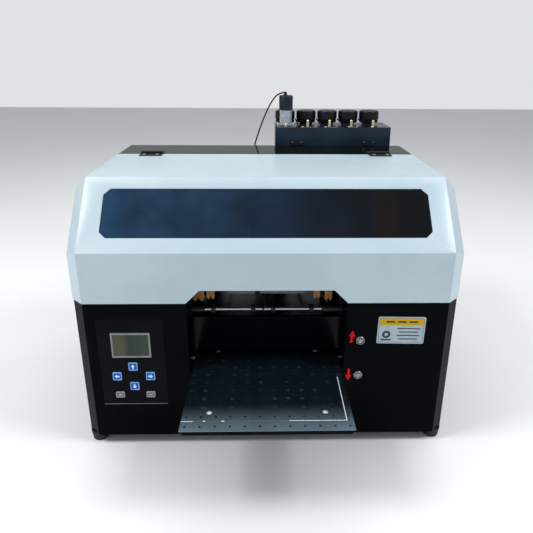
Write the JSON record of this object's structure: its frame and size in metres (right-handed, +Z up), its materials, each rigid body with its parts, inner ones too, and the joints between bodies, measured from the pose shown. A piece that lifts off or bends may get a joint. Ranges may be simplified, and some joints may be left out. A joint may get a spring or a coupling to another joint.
{
  "type": "flatbed uv printer",
  "caption": "Desktop flatbed UV printer with hinged windowed hood, sliding perforated platen on a lift, inkjet carriage, key panel and a rear ink station with a stirrer motor.",
  "frame": {"origin": "on the floor, at the middle of the machine's footprint box", "axes": "+Z up, front with the platen faces -Y, +X to the right seen from the front"},
  "size_m": [0.732, 0.757, 0.6635],
  "materials": {
    "housing_black": "gloss black powder coat",
    "roof_black": "mirror-gloss black",
    "chassis_steel": "satin black",
    "shield_black": "gloss black",
    "feet_rubber": "matte",
    "fastener_steel": "bright zinc",
    "panel_plastic": "satin black",
    "bezel_silver": "silver",
    "button_steel": "stainless",
    "hinge_black": "satin black",
    "pin_steel": "bright",
    "hood_paint": "satin pale blue-grey",
    "window_tint": "tinted acrylic",
    "motor_black": "satin black",
    "belt_rubber": "matte",
    "pulley_aluminium": "turned",
    "carriage_black": "moulded",
    "head_metal": "satin",
    "lamp_aluminium": "satin",
    "shaft_steel": "ground",
    "platen_anodised": "black anodised",
    "tray_black": "black anodised",
    "lift_aluminium": "milled",
    "circuit_green": "solder mask",
    "inlet_plastic": "moulded",
    "ink_box_black": "gloss black acrylic",
    "bottle_plastic": "blow moulded",
    "cap_plastic": "ribbed",
    "brass": "turned",
    "stirrer_metal": "satin",
    "wire_sheath": "satin",
    "gland_plastic": "moulded",
    "key_blue": "gloss blue",
    "key_grey": "grey"
  },
  "bodies": {
    "chassis": {"base_pan": "chassis_steel", "capping_station": "carriage_black", "carriage_belt": "belt_rubber", "carriage_motor": "motor_black", "control_panel": "panel_plastic", "cross_shaft": "shaft_steel", "display_bezel": "bezel_silver", "electronics": "circuit_green", "gantry": "chassis_steel", "hinge_leaves_fixed": "hinge_black", "hinge_pins": "pin_steel", "housing_screws": "fastener_steel", "ink_bottles": "bottle_plastic", "ink_box": "ink_box_black", "ink_fittings": "brass", "inner_shield": "shield_black", "left_side_panel": "housing_black", "left_tower_cover": "housing_black", "lift_button_bodies": "button_steel", "lift_guide_rods": "shaft_steel", "lift_motor": "motor_black", "power_inlet": "inlet_plastic", "rear_panel": "housing_black", "right_side_panel": "housing_black", "right_tower_cover": "housing_black", "rubber_feet": "feet_rubber", "stirrer_motor": "stirrer_metal", "stirrer_wire": "wire_sheath", "top_panel": "roof_black", "wire_gland": "gland_plastic"},
    "hood": {"hood_shell": "hood_paint", "hood_window": "window_tint", "hinge_leaves_hood": "hinge_black"},
    "lift": {"lift_frame": "lift_aluminium", "platen_motor": "motor_black"},
    "lift_screw": {"lift_screw": "shaft_steel"},
    "platen": {"platen": "platen_anodised", "platen_tray": "tray_black", "platen_screws": "fastener_steel"},
    "platen_screw": {"platen_drive_screw": "shaft_steel"},
    "carriage": {"carriage": "carriage_black", "print_head": "head_metal", "uv_lamp": "lamp_aluminium"},
    "drive_pulley": {"carriage_drive_pulley": "pulley_aluminium"},
    "idler_pulley": {"carriage_idler_pulley": "pulley_aluminium"},
    "stirrer": {"stirrer_paddle": "stirrer_metal"},
    "power_rocker": {"power_switch": "inlet_plastic"},
    "lift_button_up": {"lift_button_up": "button_steel"},
    "lift_button_down": {"lift_button_down": "button_steel"},
    "key_up": {"key_up": "key_blue"},
    "key_down": {"key_down": "key_blue"},
    "key_left": {"key_left": "key_blue"},
    "key_right": {"key_right": "key_blue"},
    "key_cancel": {"key_cancel": "key_grey"},
    "key_confirm": {"key_confirm": "key_grey"},
    "ink_cap_1": {"ink_cap_1": "cap_plastic"},
    "ink_cap_2": {"ink_cap_2": "cap_plastic"},
    "ink_cap_3": {"ink_cap_3": "cap_plastic"},
    "ink_cap_4": {"ink_cap_4": "cap_plastic"},
    "ink_cap_5": {"ink_cap_5": "cap_plastic"}
  },
  "joints": [
    {"name": "hood_hinge", "type": "hinge", "parent": "chassis", "child": "hood", "pos_m": [0, 0.1475, 0.5355], "axis": [-1, 0, 0], "range_deg": [0, 100]},
    {"name": "table_lift", "type": "slide", "parent": "chassis", "child": "lift", "axis": [0, 0, 1], "range_m": [-0.06, 0.015]},
    {"name": "lift_screw_spin", "type": "hinge", "parent": "chassis", "child": "lift_screw", "pos_m": [0.09, 0.2415, 0.1], "axis": [0, 0, 1], "range_deg": [-2710, 680]},
    {"name": "platen_travel", "type": "slide", "parent": "lift", "child": "platen", "axis": [0, 1, 0], "range_m": [0, 0.3]},
    {"name": "platen_screw_spin", "type": "hinge", "parent": "lift", "child": "platen_screw", "pos_m": [0, -0.0985, 0.156], "axis": [0, 1, 0], "range_deg": [-2, 10810]},
    {"name": "carriage_travel", "type": "slide", "parent": "chassis", "child": "carriage", "axis": [-1, 0, 0], "range_m": [0, 0.47]},
    {"name": "drive_pulley_spin", "type": "hinge", "parent": "chassis", "child": "drive_pulley", "pos_m": [0.3, 0.0465, 0.36], "axis": [0, 0, 1], "range_deg": [-2, 2600]},
    {"name": "idler_pulley_spin", "type": "hinge", "parent": "chassis", "child": "idler_pulley", "pos_m": [-0.3, 0.0465, 0.36], "axis": [0, 0, 1], "range_deg": [-2, 2600]},
    {"name": "stirrer_spin", "type": "hinge", "parent": "chassis", "child": "stirrer", "pos_m": [0.051, 0.302, 0.5], "axis": [0, 0, 1], "continuous": true},
    {"name": "power_rocker_tilt", "type": "hinge", "parent": "chassis", "child": "power_rocker", "pos_m": [-0.3, 0.2725, 0.105], "axis": [1, 0, 0], "range_deg": [0, 14]},
    {"name": "lift_button_up_press", "type": "slide", "parent": "chassis", "child": "lift_button_up", "axis": [0, 1, 0], "range_m": [0, 0.0015], "stiffness_N_per_m": 400, "springref_m": -0.001},
    {"name": "lift_button_down_press", "type": "slide", "parent": "chassis", "child": "lift_button_down", "axis": [0, 1, 0], "range_m": [0, 0.0015], "stiffness_N_per_m": 400, "springref_m": -0.001},
    {"name": "key_up_press", "type": "slide", "parent": "chassis", "child": "key_up", "axis": [0, 1, 0], "range_m": [0, 0.001], "stiffness_N_per_m": 400, "springref_m": -0.001},
    {"name": "key_down_press", "type": "slide", "parent": "chassis", "child": "key_down", "axis": [0, 1, 0], "range_m": [0, 0.001], "stiffness_N_per_m": 400, "springref_m": -0.001},
    {"name": "key_left_press", "type": "slide", "parent": "chassis", "child": "key_left", "axis": [0, 1, 0], "range_m": [0, 0.001], "stiffness_N_per_m": 400, "springref_m": -0.001},
    {"name": "key_right_press", "type": "slide", "parent": "chassis", "child": "key_right", "axis": [0, 1, 0], "range_m": [0, 0.001], "stiffness_N_per_m": 400, "springref_m": -0.001},
    {"name": "key_cancel_press", "type": "slide", "parent": "chassis", "child": "key_cancel", "axis": [0, 1, 0], "range_m": [0, 0.001], "stiffness_N_per_m": 400, "springref_m": -0.001},
    {"name": "key_confirm_press", "type": "slide", "parent": "chassis", "child": "key_confirm", "axis": [0, 1, 0], "range_m": [0, 0.001], "stiffness_N_per_m": 400, "springref_m": -0.001},
    {"name": "ink_cap_1_turn", "type": "hinge", "parent": "chassis", "child": "ink_cap_1", "pos_m": [0.0505, 0.3445, 0.6], "axis": [0, 0, 1], "range_deg": [0, 540]},
    {"name": "ink_cap_2_turn", "type": "hinge", "parent": "chassis", "child": "ink_cap_2", "pos_m": [0.106, 0.3445, 0.6], "axis": [0, 0, 1], "range_deg": [0, 540]},
    {"name": "ink_cap_3_turn", "type": "hinge", "parent": "chassis", "child": "ink_cap_3", "pos_m": [0.1615, 0.3445, 0.6], "axis": [0, 0, 1], "range_deg": [0, 540]},
    {"name": "ink_cap_4_turn", "type": "hinge", "parent": "chassis", "child": "ink_cap_4", "pos_m": [0.217, 0.3445, 0.6], "axis": [0, 0, 1], "range_deg": [0, 540]},
    {"name": "ink_cap_5_turn", "type": "hinge", "parent": "chassis", "child": "ink_cap_5", "pos_m": [0.2725, 0.3445, 0.6], "axis": [0, 0, 1], "range_deg": [0, 540]}
  ],
  "couplings": [
    {"joint": "lift_screw_spin", "follows": "table_lift", "rad_per_m": 785.4},
    {"joint": "platen_screw_spin", "follows": "platen_travel", "rad_per_m": 628.32},
    {"joint": "drive_pulley_spin", "follows": "carriage_travel", "rad_per_m": 90.498},
    {"joint": "idler_pulley_spin", "follows": "carriage_travel", "rad_per_m": 90.498}
  ]
}
